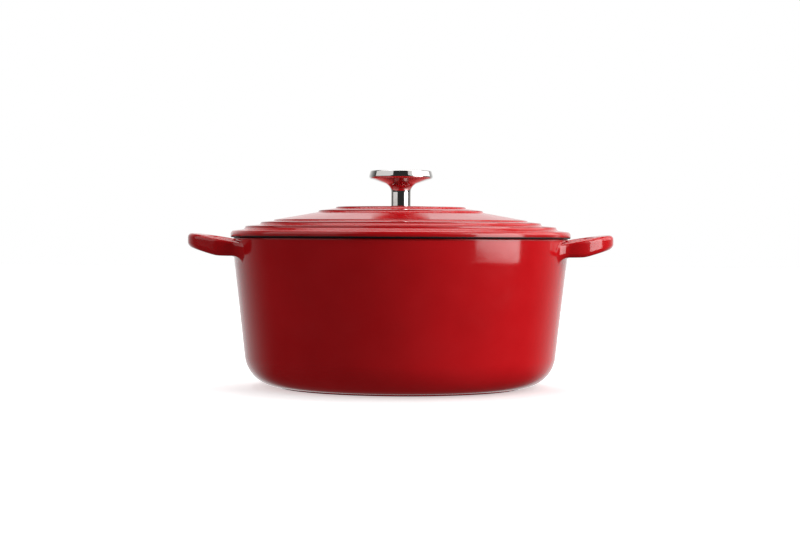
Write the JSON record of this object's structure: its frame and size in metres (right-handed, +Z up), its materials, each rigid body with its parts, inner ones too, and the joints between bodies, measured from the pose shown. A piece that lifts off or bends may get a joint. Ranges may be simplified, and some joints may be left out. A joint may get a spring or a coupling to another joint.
{
  "type": "enamelled cast iron dutch oven",
  "caption": "Round enamelled cast iron cooking pot with cast loop handles and a stepped lift-off lid with a flared steel knob.",
  "frame": {"origin": "on the ground at the pot's axis, centre of the foot ring", "axes": "+Z up along the pot's axis, +X along the line through both handles, +Y horizontal across it"},
  "size_m": [0.3348, 0.27, 0.1731],
  "materials": {
    "enamelled_pot": "gloss red vitreous enamel outside, matte black enamel on the rim and inside",
    "enamelled_lid": "gloss red vitreous enamel on top, matte black enamel on the seat and underneath",
    "knob_steel": "polished stainless steel",
    "plated_steel": "satin stainless steel, turned",
    "gasket": "black heat-resistant rubber"
  },
  "bodies": {
    "pot": {"pot": "enamelled_pot"},
    "lid": {"lid": "enamelled_lid", "knob_body": "knob_steel", "knob_cap": "knob_steel", "knob_insert": "plated_steel", "knob_gasket": "gasket", "screw_washer": "plated_steel", "spring_washer": "plated_steel", "knob_screw": "plated_steel"}
  },
  "joints": [
    {"name": "lid_lift", "type": "slide", "parent": "pot", "child": "lid", "axis": [0, 0, 1], "range_m": [0, 0.15]}
  ]
}
